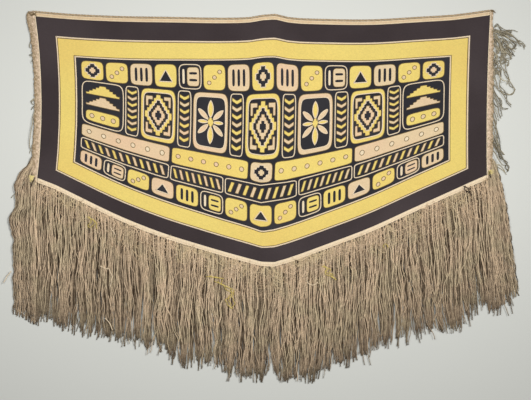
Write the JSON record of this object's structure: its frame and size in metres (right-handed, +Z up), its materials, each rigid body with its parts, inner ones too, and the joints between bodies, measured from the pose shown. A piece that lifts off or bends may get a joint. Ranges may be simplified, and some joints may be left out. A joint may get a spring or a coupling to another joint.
{
  "type": "chilkat blanket",
  "caption": "Wide twined wool robe laid face up, with a shallow V hem, long warp fringe, corded heading, braided sides and black and yellow borders.",
  "frame": {"origin": "middle of the bounding box at the level of the surface that the blanket lies on", "axes": "+Z up out of the face, +Y from the hem towards the heading, +X to the right for someone who looks at the face"},
  "size_m": [1.8516, 1.3578, 0.009],
  "materials": {
    "twined_cloth": "matte twined wool, black, yellow and cream",
    "heading_cord": "wrapped tan cord",
    "side_braid": "mottled tan wool braid",
    "warp_fringe": "spun wool and bark warps, brown to cream",
    "tie_yarn": "yellow wool yarn"
  },
  "bodies": {
    "root": {"twined_cloth": "twined_cloth", "heading_cord": "heading_cord", "side_fringe_left": "side_braid", "side_fringe_right": "side_braid", "hem_fringe_1": "warp_fringe", "hem_fringe_2": "warp_fringe", "hem_fringe_3": "warp_fringe", "hem_fringe_4": "warp_fringe", "corner_tie_left": "tie_yarn", "corner_tie_right": "tie_yarn"}
  },
  "joints": []
}
